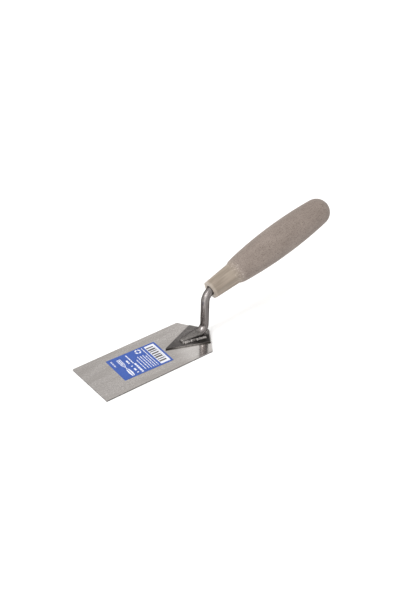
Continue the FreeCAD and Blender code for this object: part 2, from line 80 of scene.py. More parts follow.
AXIS = Vector((math.cos(SLOPE), 0, math.sin(SLOPE)))
CROSSING = Vector((RISER_X, 0, AXIS_Z))
MOUTH = CROSSING + AXIS * MOUTH_OFFSET
TO_HANDLE = Matrix.Translation(MOUTH) @ Matrix.Rotation(math.pi / 2 - SLOPE, 4, "Y")

NECK = 25.6 * MM
SHOULDER = 3.2 * MM
MOUTH_FLAT = 8.0 * MM
ROOT_FLAT = 9.6 * MM
BELLY_AT = 82 * MM
BELLY_R = 14.65 * MM
BARREL_ARC = 420 * MM
HANDLE = 137.5 * MM
RECESS_R = 4.4 * MM
RECESS = 2 * MM
BORE_R = 4.1 * MM
BORE = 78 * MM

# The side beads run back and outwards from the nose. Each is given in millimetres by its
# (offset from the middle line, half width, height) in front and at the rear. The heel weld is
# an ellipsoid behind the shank.
BEAD_LENGTH = 22 * MM
LEFT_BEAD = ((3.0, 1.9, 1.9), (8.4, 1.2, 1.7))
RIGHT_BEAD = ((1.7, 0.8, 0.8), (4.4, 1.2, 1.2))
HEEL_X = TOE_X + 120.1 * MM
HEEL_HALF_SIZES = (3.7 * MM, 5.0 * MM, 3.4 * MM)

# The line on the foot plate beside which shade and a dark reflection are painted: y + x *
# PAINTED_SHADE_SLANT = PAINTED_SHADE_START.
PAINTED_SHADE_SLANT = 5.0 / 22
PAINTED_SHADE_START = weld_low.x * PAINTED_SHADE_SLANT - 3.0 * MM


# ---------------------------------------------------------------- mesh helpers


def add_piece(name, mesh, materials, replaced=None, sharp=40):
    """A piece that rides on the body; edges steeper than sharp degrees shade as edges."""
    work = bmesh.new()
    work.from_mesh(mesh)
    bmesh.ops.recalc_face_normals(work, faces=work.faces)
    for face in work.faces:
        face.smooth = True
    for edge in work.edges:
        if len(edge.link_faces) == 2:
            edge.smooth = edge.calc_face_angle() < math.radians(sharp)
    work.to_mesh(mesh)
    work.free()
    for material in materials:
        mesh.materials.append(material)
    piece = bpy.data.objects.new(name, mesh)
    bpy.context.scene.collection.objects.link(piece)
    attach(piece, BODY)
    if replaced:
        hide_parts(replaced)
    return piece


def mesh_from(name, points, faces):
    mesh = bpy.data.meshes.new(name)
    mesh.from_pydata([tuple(p) for p in points], [], faces)
    mesh.update()
    return mesh


def rings_to_mesh(name, rings, looped=False):
    """Rings of equal length joined by quads; closed at both ends, or back on itself."""
    rings = np.asarray(rings, dtype=float)
    count, around = rings.shape[:2]
    points = rings.reshape(-1, 3)
    faces = []
    for i in range(count if looped else count - 1):
        a, b = i * around, ((i + 1) % count) * around
        for j in range(around):
            k = (j + 1) % around
            faces.append((a + j, a + k, b + k, b + j))
    if not looped:
        faces.append(tuple(range(around - 1, -1, -1)))
        faces.append(tuple(range((count - 1) * around, count * around)))
    return mesh_from(name, points, faces)


def round_corner(before, corner, after, radius, steps=8):
    """Points of an arc that rounds the corner of an outline."""
    before, corner, after = (Vector(p) for p in (before, corner, after))
    a = (before - corner).normalized()
    b = (after - corner).normalized()
    half = a.angle(b) / 2
    reach = radius / math.tan(half)
    centre = corner + (a + b).normalized() * radius / math.sin(half)
    start, end = corner + a * reach - centre, corner + b * reach - centre
    turn = start.angle(end)
    return [
        centre
        + (start * math.sin((1 - t) * turn) + end * math.sin(t * turn)) / math.sin(turn)
        for t in (i / steps for i in range(steps + 1))
    ]


def outline(corners):
    """An outline from (x, y, radius) corners, radius 0 for a sharp one."""
    points = []
    count = len(corners)
    for i, (x, y, radius) in enumerate(corners):
        if radius:
            before, after = corners[i - 1][:2], corners[(i + 1) % count][:2]
            points += round_corner(before, (x, y), after, radius)
        else:
            points.append(Vector((x, y)))
    return points


def slab(name, points, low, high, edge, wall=0, wide=None, wide_size=0.0):
    """A plate on an outline, with its edges eased and, where wide says so, bevelled.

    Walls take the material numbered wall, and the bevels that wide picks take number 1."""
    count = len(points)
    verts = [(p.x, p.y, z) for z in (low, high) for p in points]
    faces = [tuple(range(count - 1, -1, -1)), tuple(range(count, 2 * count))]
    faces += [(i, (i + 1) % count, count + (i + 1) % count, count + i) for i in range(count)]
    mesh = mesh_from(name, verts, faces)
    work = bmesh.new()
    work.from_mesh(mesh)
    for face in work.faces:
        face.material_index = wall if len(face.verts) == 4 else 0
    if wide:
        rims = [e for e in work.edges if wide(e)]
        made = bmesh.ops.bevel(
            work, geom=rims, offset=wide_size, segments=1, affect="EDGES", clamp_overlap=False
        )
        for face in made["faces"]:
            face.material_index = 1
    steep = [e for e in work.edges if e.calc_face_angle(0) > math.radians(25)]
    bmesh.ops.bevel(work, geom=steep, offset=edge, segments=2, affect="EDGES", profile=0.5)
    work.to_mesh(mesh)
    work.free()
    return mesh


# ---------------------------------------------------------------- materials


class Paint:
    """A procedural material, put together node by node."""

    def __init__(self, name, metallic, roughness, **constants):
        self.material = bpy.data.materials.new(name)
        self.material.use_nodes = True
        self.tree = self.material.node_tree
        self.shader = self.tree.nodes["Principled BSDF"]
        self.set("Metallic", metallic)
        self.set("Roughness", roughness)
        for key, value in constants.items():
            self.set(key.replace("_", " "), value)
        self.object_space = self.node("ShaderNodeTexCoord").outputs["Object"]

    def set(self, socket, value):
        if isinstance(value, bpy.types.NodeSocket):
            self.tree.links.new(value, self.shader.inputs[socket])
        else:
            self.shader.inputs[socket].default_value = value

    def node(self, kind, inputs=None, **settings):
        made = self.tree.nodes.new(kind)
        for key, value in settings.items():
            setattr(made, key, value)
        for key, value in (inputs or {}).items():
            if isinstance(value, bpy.types.NodeSocket):
                self.tree.links.new(value, made.inputs[key])
            else:
                made.inputs[key].default_value = value
        return made

    def stretched(self, scale, turn=(0, 0, 0)):
        """Object coordinates, turned and then scaled for each axis."""
        turned = self.node("ShaderNodeMapping", {"Vector": self.object_space, "Rotation": turn})
        scaled = self.node("ShaderNodeMapping", {"Vector": turned.outputs[0], "Scale": scale})
        return scaled.outputs[0]

    def axes(self, vector=None):
        """The X, Y and Z outputs of a vector, the object coordinates if none is given."""
        vector = self.object_space if vector is None else vector
        return self.node("ShaderNodeSeparateXYZ", {0: vector}).outputs

    def noise(self, vector, scale, detail, rough=0.55):
        inputs = {"Vector": vector, "Scale": scale, "Detail": detail, "Roughness": rough}
        return self.node("ShaderNodeTexNoise", inputs).outputs["Fac"]

    def between(self, value, low, high, to_low=0.0, to_high=1.0):
        inputs = {1: low, 2: high, 3: to_low, 4: to_high, 0: value}
        return self.node("ShaderNodeMapRange", inputs, interpolation_type="SMOOTHSTEP").outputs[0]

    def mix(self, factor, first, second):
        made = self.node("ShaderNodeMix", data_type="RGBA")
        for index, value in ((0, factor), (6, first), (7, second)):
            if isinstance(value, bpy.types.NodeSocket):
                self.tree.links.new(value, made.inputs[index])
            elif index == 0:
                made.inputs[0].default_value = value
            else:
                made.inputs[index].default_value = (*value, 1)
        return made.outputs[2]

    def sum(self, first, second, by=1.0):
        """first + second * by, on plain numbers."""
        inputs = {0: second, 1: by, 2: first}
        return self.node("ShaderNodeMath", inputs, operation="MULTIPLY_ADD").outputs[0]

    def product(self, first, second):
        return self.node("ShaderNodeMath", {0: first, 1: second}, operation="MULTIPLY").outputs[0]

    def bump(self, height, distance, strength=1.0, over=None):
        inputs = {"Height": height, "Distance": distance, "Strength": strength}
        if over:
            inputs["Normal"] = over
        made = self.node("ShaderNodeBump", inputs).outputs[0]
        self.set("Normal", made)
        return made


def brushed_blade():
    """Cold-rolled sheet: lengthwise brushing and duller streaks, fine grain, and a painted
    reflection that makes the rear left paler.
    """
    p = Paint("blade_steel", 1.0, 0.2)
    lines = p.noise(p.stretched((60, 2600, 2600)), 1.0, 4, 0.6)
    grain = p.noise(p.stretched((1, 1, 1)), 1100, 3, 0.75)
    weave = p.noise(p.stretched((500, 900, 900), (0, 0, 0.5)), 1.0, 3, 0.65)
    clouds = p.noise(p.stretched((14, 150, 150)), 1.0, 4, 0.6)
    base = p.mix(p.between(lines, 0.3, 0.7), (0.423, 0.398, 0.381), (0.473, 0.448, 0.431))
    base = p.mix(p.between(grain, 0.42, 0.62, 0, 0.75), base, (0.338, 0.315, 0.301))
    base = p.mix(p.between(weave, 0.48, 0.68, 0, 0.55), base, (0.575, 0.55, 0.533))
    base = p.mix(p.between(clouds, 0.4, 0.62, 0, 0.7), base, (0.36, 0.337, 0.32))
    at = p.axes()
    # Painted reflection: the rear left of the blade is paler.
    rearward = p.between(at["X"], 14 * MM, 32 * MM)
    rear_left_reflection = p.product(rearward, p.between(at["Y"], -12 * MM, 0, 0.4, 0))
    p.set("Base Color", p.mix(rear_left_reflection, base, (0.72, 0.693, 0.675)))
    rough = p.sum(0.08, lines, 0.08)
    p.set("Roughness", p.sum(rough, clouds, 0.05))
    p.bump(grain, 0.03 * MM, 0.3)
    return p.material


def shear_marks(p):
    """Gives a cut edge its torn upright marks, and returns where they are."""
    tears = p.noise(p.stretched((1500, 1500, 90)), 1.0, 4, 0.6)
    p.set("Roughness", p.sum(0.42, tears, 0.2))
    p.bump(tears, 0.05 * MM, 0.4)
    return p.between(tears, 0.35, 0.65)


def sheared_edge():
    """The sheet's cut edge: duller and darker than its faces."""
    p = Paint("blade_edge", 1.0, 0.5)
    p.set("Base Color", p.mix(shear_marks(p), (0.07, 0.066, 0.063), (0.14, 0.132, 0.127)))
    return p.material


def scaled_foot():
    """Mild steel with dark heat scale, slightly pitted, darker at the tip, with painted shade
    and a dark reflection along the left bead."""
    p = Paint("foot_scale", 0.7, 0.35)
    at = p.axes()
    # Painted shade and dark reflection: a near-black band on the plate beside the left bead.
    slanted = p.sum(at["Y"], at["X"], PAINTED_SHADE_SLANT)
    aside = p.node("ShaderNodeMath", {0: slanted, 1: PAINTED_SHADE_START}, operation="SUBTRACT").outputs[0]
    inner = p.between(aside, 1.8 * MM, 4 * MM, 1, 0)
    outer = p.between(aside, -8.5 * MM, -5 * MM)
    along_it = p.between(at["X"], weld_low.x + MM, weld_low.x + 12 * MM)
    near = p.product(p.product(inner, outer), along_it)
    tip = p.between(at["X"], 22 * MM, 38 * MM, 0.75, 0)
    patches = p.noise(p.stretched((1, 1, 1)), 420, 5, 0.65)
    grain = p.noise(p.stretched((1, 1, 1)), 1700, 4, 0.65)
    bright = p.mix(p.between(patches, 0.3, 0.7), (0.075, 0.068, 0.065), (0.15, 0.137, 0.132))
    # The colour of the painted shade and dark reflection.
    painted_shade_tone = p.mix(p.between(patches, 0.3, 0.7), (0.012, 0.010, 0.009), (0.03, 0.025, 0.023))
    base = p.mix(p.between(grain, 0.58, 0.76, 0, 0.5), bright, (0.33, 0.315, 0.305))
    base = p.mix(tip, base, (0.05, 0.045, 0.043))
    base = p.mix(near, base, painted_shade_tone)
    p.set("Base Color", base)
    p.set("Roughness", p.sum(0.28, grain, 0.2))
    first = p.bump(grain, 0.08 * MM, 0.5)
    p.bump(patches, 0.2 * MM, 0.4, first)
    return p.material


def foot_wall():
    """The foot plate's sheared sides: clean along the middle, scaled at the tip and the rear."""
    p = Paint("foot_edge", 1.0, 0.5)
    along = p.axes()["X"]
    scaled = p.sum(p.between(along, 38 * MM, 50 * MM), p.between(along, 19 * MM, 27 * MM, 1, 0))
    clean = p.mix(shear_marks(p), (0.3, 0.285, 0.275), (0.5, 0.48, 0.465))
    p.set("Base Color", p.mix(scaled, clean, (0.07, 0.064, 0.06)))
    return p.material


def ground_foot():
    """The rear rim, ground bright flush with the blade: short marks across the edge."""
    p = Paint("foot_ground", 1.0, 0.32)
    marks = p.noise(p.stretched((900, 900, 60)), 1.0, 4, 0.6)
    base = p.mix(p.between(marks, 0.35, 0.65), (0.198, 0.183, 0.176), (0.418, 0.392, 0.374))
    p.set("Base Color", base)
    p.set("Roughness", p.sum(0.25, marks, 0.15))
    p.bump(marks, 0.03 * MM, 0.4)
    return p.material


def drawn_bar():
    """Drawn round bar: dark and glossy, with drawing lines and two paler streaks of painted
    highlight up its left front, duller on the forged nose."""
    p = Paint("shank_steel", 1.0, 0.3, Specular_Tint=(0.0, 0.0, 0.0, 1.0))
    at = p.axes()
    lines = p.noise(p.stretched((900, 900, 40)), 1.0, 4, 0.6)
    mottle = p.noise(p.stretched((1, 1, 1)), 700, 4, 0.6)
    blotch = p.noise(p.stretched((1, 1, 0.4)), 260, 3, 0.6)
    nose = p.between(at["X"], RISER_X - 7.8 * MM, RISER_X - 5.2 * MM, 1, 0)
    nose = p.product(nose, p.between(at["Z"], 9 * MM, 13 * MM, 1, 0))
    clean = p.mix(p.between(lines, 0.35, 0.65), (0.148, 0.134, 0.13), (0.212, 0.194, 0.189))
    clean = p.mix(p.between(blotch, 0.45, 0.7, 0, 0.4), clean, (0.104, 0.0944, 0.0896))
    ahead = p.between(at["X"], RISER_X, RISER_X + MM, 1, 0)
    # Painted highlights: each streak starts, is full, fades and ends at these Y and Z, in
    # millimetres.
    for sides, heights, amount in (
        ((-3.1, -2.6, -1.9, -1.3), (25, 33, 42, 50), 0.45),
        ((-3.5, -2.9, -1.6, -0.8), (5, 9, 13, 18), 0.35),
    ):
        painted_highlight = ahead
        for axis, (start, full, fade, end) in (("Y", sides), ("Z", heights)):
            painted_highlight = p.product(painted_highlight, p.between(at[axis], start * MM, full * MM))
            painted_highlight = p.product(painted_highlight, p.between(at[axis], fade * MM, end * MM, 1, 0))
        clean = p.mix(p.product(painted_highlight, amount), clean, (0.52, 0.485, 0.475))
    worn = p.mix(p.between(mottle, 0.35, 0.7), (0.14, 0.131, 0.124), (0.248, 0.232, 0.224))
    p.set("Base Color", p.mix(nose, clean, worn))
    rough = p.sum(0.2, mottle, 0.12)
    p.set("Roughness", p.sum(rough, nose, 0.1))
    p.bump(mottle, 0.06 * MM, 0.25)
    return p.material


def weld_metal():
    """As-laid weld: silvery crests with dark scale between."""
    p = Paint("weld_steel", 0.9, 0.4)
    grain = p.noise(p.stretched((1, 1, 1)), 1100, 4, 0.7)
    blots = p.noise(p.stretched((1, 1, 1)), 520, 3, 0.6)
    base = p.mix(p.between(blots, 0.38, 0.6), (0.05, 0.044, 0.041), (0.28, 0.26, 0.25))
    base = p.mix(p.between(grain, 0.5, 0.66, 0, 0.85), base, (0.62, 0.6, 0.58))
    p.set("Base Color", base)
    p.set("Roughness", p.sum(0.22, blots, 0.3))
    p.bump(grain, 0.2 * MM, 0.7)
    return p.material


def handle_moulding():
    """Grey-beige moulding: dull grip with specks and lengthwise grain, smoother neck."""
    p = Paint("handle_moulding", 0.0, 0.6)
    turn = (0, SLOPE, 0)
    on_axis = p.stretched((1, 1, 1), turn)
    along = p.axes(on_axis)["X"]
    mouth_at = CROSSING.dot(AXIS) + MOUTH_OFFSET
    neck_ends = mouth_at + NECK
    neck = p.between(along, neck_ends - 3 * MM, neck_ends + 6 * MM, 1, 0)
    # Painted highlights: pale flecks round the shoulder where the neck meets the grip.
    shoulder_highlight_band = p.product(
        p.between(along, neck_ends - 4 * MM, neck_ends - 1 * MM),
        p.between(along, neck_ends + 3 * MM, neck_ends + 7 * MM, 1, 0),
    )
    specks = p.noise(on_axis, 1300, 3, 0.6)
    fibres = p.noise(p.stretched((220, 1500, 1500), turn), 1.0, 4, 0.6)
    clouds = p.noise(p.stretched((40, 120, 120), turn), 1.0, 3, 0.5)
    streaks = p.noise(p.stretched((30, 500, 500), turn), 1.0, 3, 0.55)
    flecks = p.noise(on_axis, 800, 3, 0.6)
    grip = p.mix(p.between(clouds, 0.3, 0.7), (0.174, 0.138, 0.117), (0.215, 0.174, 0.149))
    grip = p.mix(p.between(fibres, 0.35, 0.7, 0, 0.5), grip, (0.258, 0.215, 0.189))
    grip = p.mix(p.between(specks, 0.52, 0.64, 0, 0.85), grip, (0.0983, 0.0738, 0.0598))
    smooth = p.mix(p.between(streaks, 0.35, 0.7), (0.195, 0.157, 0.121), (0.273, 0.226, 0.181))
    base = p.mix(neck, grip, smooth)
    # Painted highlight: a paler ring round the rounded rim of the mouth.
    rim = p.between(along, mouth_at + 0.5 * MM, mouth_at + 2.5 * MM, 0.3, 0)
    base = p.mix(rim, base, (0.43, 0.38, 0.335))
    # The painted highlights at the shoulder.
    shoulder_highlights = p.product(shoulder_highlight_band, p.between(flecks, 0.52, 0.66, 0, 0.6))
    p.set("Base Color", p.mix(shoulder_highlights, base, (0.44, 0.39, 0.35)))
    rough = p.sum(0.5, specks, 0.2)
    p.set("Roughness", p.sum(rough, neck, -0.24))
    coarse = p.noise(p.stretched((700, 1100, 1100), turn), 1.0, 4, 0.6)
    quiet = p.product(coarse, p.between(neck, 0, 1, 1, 0.25))
    p.bump(quiet, 0.22 * MM, 0.5)
    return p.material


def plain_print(name, low, high, roughness, size=900):
    """Printed film or set glue: one colour with a faint mottle."""
    p = Paint(name, 0.0, roughness)
    mottle = p.noise(p.stretched((1, 1, 1)), size, 3)
    p.set("Base Color", p.mix(p.between(mottle, 0.3, 0.7), low, high))
    p.set("Roughness", p.sum(roughness - 0.05, mottle, 0.1))
    return p.material


BLADE_STEEL = brushed_blade()
BLADE_EDGE = sheared_edge()
FOOT_SCALE = scaled_foot()
FOOT_GROUND = ground_foot()
FOOT_WALL = foot_wall()
SHANK_STEEL = drawn_bar()
WELD_STEEL = weld_metal()
HANDLE_MOULDING = handle_moulding()
ADHESIVE = plain_print("set_adhesive", (0.035, 0.03, 0.026), (0.06, 0.052, 0.045), 0.35)
LABEL_BLUE = plain_print("label_blue", (0.0152, 0.0603, 0.279), (0.0194, 0.0705, 0.319), 0.38, 300)
INK_WHITE = plain_print("ink_white", (0.607, 0.622, 0.7), (0.654, 0.669, 0.731), 0.45)
INK_DARK = plain_print("ink_dark", (0.0525, 0.0455, 0.0385), (0.084, 0.0735, 0.063), 0.5)


# ---------------------------------------------------------------- blade and foot plate


def make_blade():
    corners = [
        (TOE_X, -HALF_BLADE, 0.4 * MM),
        (SHOULDER_X, -HALF_BLADE, 1 * MM),
        (APEX_X, 0, APEX_R),
        (SHOULDER_X, HALF_BLADE, 1 * MM),
        (TOE_X, HALF_BLADE, 0.4 * MM),
    ]
    mesh = slab("blade_sheet", outline(corners), 0, BLADE_TOP, 0.14 * MM, wall=1)
    return add_piece("blade_sheet", mesh, [BLADE_STEEL, BLADE_EDGE], "blade", 15)


def make_foot():
    slant = (APEX_X - SHOULDER_X) / HALF_BLADE
    corner_x = APEX_X - HALF_FOOT * slant
    corners = [
        (FOOT_TIP_X, 0, 0.3 * MM),
        (corner_x, -HALF_FOOT, 0),
        (APEX_X, 0, APEX_R),
        (corner_x, HALF_FOOT, 0),
    ]

    def rear_rim(edge):
        a, b = (v.co for v in edge.verts)
        level = min(a.z, b.z) > FOOT_TOP - MM / 10
        return level and min(a.x, b.x) > corner_x - MM / 10

    mesh = slab(
        "foot_dart",
        outline(corners),
        BLADE_TOP,
        FOOT_TOP,
        0.12 * MM,
        wall=2,
        wide=rear_rim,
        wide_size=FOOT_BEVEL,
    )
    metals = [FOOT_SCALE, FOOT_GROUND, FOOT_WALL]
    return add_piece("foot_dart", mesh, metals, "foot_plate", 15)


# ---------------------------------------------------------------- shank and weld


def bar_ring(centre, along, half_wide, half_tall, boxy=1.0, around=48):
    """One section of the bar, squarer where boxy is under 1; the foot presses it flat."""
    across = Vector((0, 1, 0))
    upward = Vector((-along.z, 0, along.x))
    press = 0.6 * MM
    ring = []
    for i in range(around):
        angle = 2 * math.pi * i / around
        c, s = math.cos(angle), math.sin(angle)
        side = half_wide * math.copysign(abs(c) ** boxy, c)
        rise = half_tall * math.copysign(abs(s) ** boxy, s)
        point = centre + across * side + upward * rise
        if point.z < FOOT_TOP:
            point.z = FOOT_TOP - press * math.tanh((FOOT_TOP - point.z) / press)
        ring.append(point)
    return ring


def ease(t):
    return t * t * (3 - 2 * t)


def nose_rings():
    """The forged nose: flat and squarish, widening back from a blunt tip."""
    tip_wide, root_wide = 2.3 * MM, 5.0 * MM
    tip_tall, root_tall = 2.2 * MM, 4.5 * MM
    bend_x = RISER_X - LOWER_BEND
    steps = 40
    rings = []
    for i in range(steps):
        t = i / steps
        x = shank_low.x + (bend_x - shank_low.x) * t
        reach = (x - shank_low.x) / (NOSE_ROOT_X - shank_low.x)
        blunt = math.sqrt(1 - (1 - min((t + 0.004) / 0.07, 1)) ** 2)
        wide = (tip_wide + (root_wide - tip_wide) * reach) * blunt
        tall = (tip_tall + (root_tall - tip_tall) * reach) * blunt
        rings.append(bar_ring(Vector((x, 0, FOOT_TOP)), Vector((1, 0, 0)), wide, tall, NOSE_BOXY))
    return rings


def lower_bend_rings():
    """From the nose up to the riser, easing from the nose's section to the round bar's."""
    extra_wide, extra_tall = 0.95 * MM, 0.15 * MM
    bend_x = RISER_X - LOWER_BEND
    steps = 24
    rings = []
    for i in range(steps + 1):
        a = math.pi / 2 * i / steps
        spread = 1 - ease(i / steps)
        x = bend_x + LOWER_BEND * math.sin(a)
        z = FOOT_TOP + LOWER_BEND * (1 - math.cos(a))
        wide = BAR_R + extra_wide * spread
        tall = BAR_R + extra_tall * spread
        boxy = 1 - (1 - NOSE_BOXY) * spread ** 3
        turned = Vector((math.cos(a), 0, math.sin(a)))
        rings.append(bar_ring(Vector((x, 0, z)), turned, wide, tall, boxy))
    return rings


def upper_rings():
    """The riser, the bend towards the handle, and the tang with its chamfered end."""
    rings = []
    reach = UPPER_BEND * math.tan((math.pi / 2 - SLOPE) / 2)
    low_z, top_x, top_z = FOOT_TOP + LOWER_BEND, RISER_X + UPPER_BEND, AXIS_Z - reach
    riser_steps, bend_steps, tang_steps = 6, 26, 32
    for i in range(riser_steps):
        z = low_z + (top_z - low_z) * (i + 0.5) / riser_steps
        rings.append(bar_ring(Vector((RISER_X, 0, z)), Vector((0, 0, 1)), BAR_R, BAR_R))
    for i in range(bend_steps + 1):
        a = (math.pi / 2 - SLOPE) * i / bend_steps
        centre = Vector((top_x - UPPER_BEND * math.cos(a), 0, top_z + UPPER_BEND * math.sin(a)))
        rings.append(bar_ring(centre, Vector((math.sin(a), 0, math.cos(a))), BAR_R, BAR_R))
    chamfer = 1 * MM
    start = CROSSING + AXIS * reach
    tang = (shank_high.x - math.sin(SLOPE) * (BAR_R - chamfer) - start.x) / math.cos(SLOPE)
    for i in range(1, tang_steps + 1):
        centre = start + AXIS * (tang - chamfer) * i / tang_steps
        rings.append(bar_ring(centre, AXIS, BAR_R, BAR_R))
    rings.append(bar_ring(start + AXIS * tang, AXIS, BAR_R - chamfer, BAR_R - chamfer))
    return rings


def make_shank():
    mesh = rings_to_mesh("shank_bar", nose_rings() + lower_bend_rings() + upper_rings())
    return add_piece("shank_bar", mesh, [SHANK_STEEL], "shank")


def roughen(points, centres, coarse, fine):
    """Pushes points out from or in to their centres by seeded noise."""
    for point, centre in zip(points, centres):
        away = (point - centre).normalized()
        lumps = noise.fractal(point * 650, 0.6, 2.0, 3)
        point += away * (lumps * coarse + noise.noise(point * 2300) * fine)
        point.z = min(point.z, weld_high.z)


def bead_rings(side, front, rear):
    """A side bead, on the side of that sign, with crescent ripples and rounded ends."""
    count, around = 170, 44
    ripples, ripple_depth = 12, 0.13
    sunk = 0.5 * MM
    rings = []
    for i in range(count + 1):
        t = i / count
        offset, half, height = ((a + (b - a) * t) * MM for a, b in zip(front, rear))
        end = min(math.sqrt((t + 0.004) / 0.05), math.sqrt((1.004 - t) / 0.05), 1.0)
        centre = Vector((weld_low.x + BEAD_LENGTH * t, side * offset, FOOT_TOP))
        ring = []
        for j in range(around):
            angle = 2 * math.pi * j / around
            crescent = t * ripples + 0.3 * math.cos(angle)
            size = end * (1 - ripple_depth * (2 * (crescent % 1) - 1) ** 2)
            y, z = half * math.cos(angle) * size, height * math.sin(angle) * size * 0.94
            ring.append(centre + Vector((0, side * y, max(z, -sunk))))
        roughen(ring, [centre - Vector((0, 0, MM))] * around, 0.42 * MM, 0.13 * MM)
        rings.append(ring)
    return rings


def make_weld():
    work = bmesh.new()
    for side, (front, rear) in ((-1, LEFT_BEAD), (1, RIGHT_BEAD)):
        work.from_mesh(rings_to_mesh("bead", bead_rings(side, front, rear)))
    centre = Vector((HEEL_X, 0, FOOT_TOP))
    heel = Matrix.Translation(centre) @ Matrix.Diagonal((*HEEL_HALF_SIZES, 1))
    made = bmesh.ops.create_icosphere(work, subdivisions=5, radius=1.0, matrix=heel)["verts"]
    for vert in made:
        vert.co.z = max(vert.co.z, FOOT_TOP - 0.5 * MM)
    roughen([v.co for v in made], [centre] * len(made), 0.25 * MM, 0.08 * MM)
    mesh = bpy.data.meshes.new("weld_fill")
    work.to_mesh(mesh)
    work.free()
    return add_piece("weld_fill", mesh, [WELD_STEEL], "weld_beads", 60)


# ---------------------------------------------------------------- handle


def butt_radius():
    """Radius of the round butt that meets the barrel's arc smoothly."""
    centre = BELLY_R - BARREL_ARC
    rise = HANDLE - BELLY_AT
    return (BARREL_ARC**2 - centre**2 - rise**2) / (2 * (BARREL_ARC - rise))


def barrel_radius(s):
    """Radius of the round grip at a distance up the axis, shoulder and butt included."""
    centre = BELLY_R - BARREL_ARC
    dome = butt_radius()
    dome_at = HANDLE - dome
    swell = centre + np.sqrt(BARREL_ARC**2 - (s - BELLY_AT) ** 2)
    join = BELLY_AT + BARREL_ARC * math.sin(math.atan2(dome_at - BELLY_AT, -centre))
    butt = np.sqrt(np.maximum(dome**2 - (s - dome_at) ** 2, 0))
    grip = np.where(s > join, butt, swell)
    start = NECK + SHOULDER
    start_r = centre + math.sqrt(BARREL_ARC**2 - (start - BELLY_AT) ** 2)
    cone = ROOT_FLAT + (start_r - ROOT_FLAT) * (s - NECK) / SHOULDER
    blend = 0.5 * MM
    soft = -blend * np.log(np.exp(-cone / blend) + np.exp(-grip / blend))
    return np.where(s < NECK, 0.0, np.where(s < NECK + 4 * SHOULDER, soft, grip))


def neck_radius(s, angle):
    """Radius of the eight-sided neck, its edges a little rounded."""
    flat = MOUTH_FLAT + (ROOT_FLAT - MOUTH_FLAT) * s / NECK
    step = math.pi / 4
    around = (angle + step / 2) % step - step / 2
    sharp = flat / np.cos(around)
    return np.minimum(sharp, flat * 1.065)


def make_handle():
    around = 192
    angle = np.arange(around) * 2 * math.pi / around
    bevel = 0.5 * MM
    heights = [
        *np.linspace(bevel, NECK - 2 * MM, 14),
        *np.linspace(NECK - 1.8 * MM, NECK + SHOULDER + 3 * MM, 46),
        *np.linspace(NECK + SHOULDER + 4 * MM, HANDLE - 13 * MM, 60),
    ]
    heights += [HANDLE - butt_radius() * (1 - math.sin(a)) for a in np.linspace(0.03, 1.52, 30)]

    def ring(radius, s):
        x, y = radius * np.cos(angle), radius * np.sin(angle)
        return np.stack([x, y, np.full(around, s)], axis=1)

    def inner(radius, s):
        return ring(np.full(around, radius), s)

    mouth = neck_radius(0.0, angle)
    rings = [
        inner(BORE_R, BORE),
        inner(BORE_R, RECESS),
        inner(RECESS_R - 0.3 * MM, RECESS),
        inner(RECESS_R, RECESS - 0.3 * MM),
        inner(RECESS_R, 0.3 * MM),
        inner(RECESS_R + 0.3 * MM, 0.0),
        ring(mouth - bevel, 0.0),
        ring(mouth - bevel * 0.25, bevel * 0.3),
    ]
    for s in heights:
        neck = neck_radius(s, angle) if s < NECK + 2 * SHOULDER else np.zeros(around)
        round_part = np.full(around, float(barrel_radius(np.array(s))))
        rings.append(ring(np.maximum(neck, round_part), s))
    mesh = rings_to_mesh("handle_moulding", rings)
    mesh.transform(TO_HANDLE)
    return add_piece(
        "handle_moulding", mesh, [HANDLE_MOULDING], "handle", 32
    )


def make_glue_ring():
    """The glue's meniscus, which shows round the shank at the bottom of the mouth recess."""
    around, turns = 64, 12
    middle, half_wide, half_tall, wave = 4.2 * MM, 0.5 * MM, 0.45 * MM, 0.12 * MM
    rings = []
    for i in range(around):
        a = 2 * math.pi * i / around
        ring = []
        for j in range(turns):
            b = 2 * math.pi * j / turns
            radius = middle + half_wide * math.cos(b)
            height = RECESS - 0.2 * MM - half_tall * math.sin(b)
            height += wave * math.sin(3 * a) * max(math.sin(b), 0)
            ring.append((radius * math.cos(a), radius * math.sin(a), height))
        rings.append(ring)
    mesh = rings_to_mesh("adhesive_meniscus", rings, looped=True)
    mesh.transform(TO_HANDLE)
    return add_piece("adhesive_meniscus", mesh, [ADHESIVE])


# ---------------------------------------------------------------- label

LABEL_CENTRE = (label_low + label_high) / 2
LABEL_TURN = math.radians(-2.2)
LABEL_LONG, LABEL_WIDE = 49.2 * MM, 30.4 * MM
FILM = 0.09 * MM
INK = 0.015 * MM


def on_label(mesh):
    mesh.transform(
        Matrix.Translation((LABEL_CENTRE.x, LABEL_CENTRE.y, BLADE_TOP))
        @ Matrix.Rotation(LABEL_TURN, 4, "Z")
    )
    return mesh


def prism(work, points, low, high):
    """A closed flat prism on an outline, in the label's own plane, in millimetres."""
    base = [work.verts.new((x * MM, y * MM, low)) for x, y in points]
    top = [work.verts.new((x * MM, y * MM, high)) for x, y in points]
    work.faces.new(base[::-1])
    work.faces.new(top)
    for i in range(len(points)):
        j = (i + 1) % len(points)
        work.faces.new((base[i], base[j], top[j], top[i]))


def bar(work, x, y, long_x, long_y, low, high):
    """A rectangle centred on x, y."""
    a, b = long_x / 2, long_y / 2
    prism(work, [(x - a, y - b), (x + a, y - b), (x + a, y + b), (x - a, y + b)], low, high)


def ink_piece(name, material, draw):
    work = bmesh.new()
    draw(work)
    mesh = bpy.data.meshes.new(name)
    work.to_mesh(mesh)
    work.free()
    return add_piece(name, on_label(mesh), [material])


def dashes(work, x, start, stop, thick, lengths, gap, low, high):
    """A row of dashes across the label, standing for a line of print."""
    y, i = start, 0
    while y > stop:
        long_y = min(lengths[i % len(lengths)], y - stop)
        if long_y > 0.3:
            bar(work, x, y - long_y / 2, thick, long_y, low, high)
        y -= long_y + gap
        i += 1


